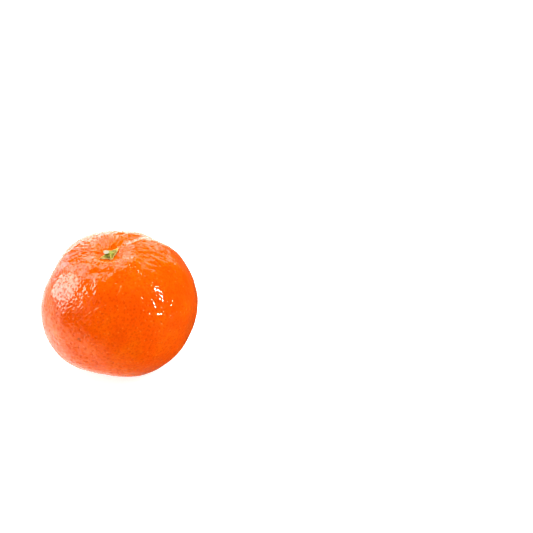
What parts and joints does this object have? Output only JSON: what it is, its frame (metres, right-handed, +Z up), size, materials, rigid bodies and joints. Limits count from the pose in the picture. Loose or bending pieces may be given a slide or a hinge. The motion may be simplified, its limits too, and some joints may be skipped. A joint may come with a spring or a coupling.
{
  "type": "mandarin",
  "caption": "Whole ripe mandarin with loose, pored orange peel, a green star-shaped calyx and a short cut stub of stem, standing on its blossom end.",
  "frame": {"origin": "on the resting surface, under the middle of the fruit's outline", "axes": "+Z up through the fruit, +X to the right and -Y to the front as it is looked at, with the stem end leaning slightly to -X"},
  "size_m": [0.0614, 0.0604, 0.0526],
  "materials": {
    "peel": "waxy orange citrus rind with oil-gland pores, satin",
    "calyx": "green sepals with yellow-green ribs and browned tips, matte",
    "cut_stem": "pale freshly cut twig, matte"
  },
  "bodies": {
    "root": {"fruit": "peel", "calyx": "calyx", "stem": "cut_stem"}
  },
  "joints": []
}
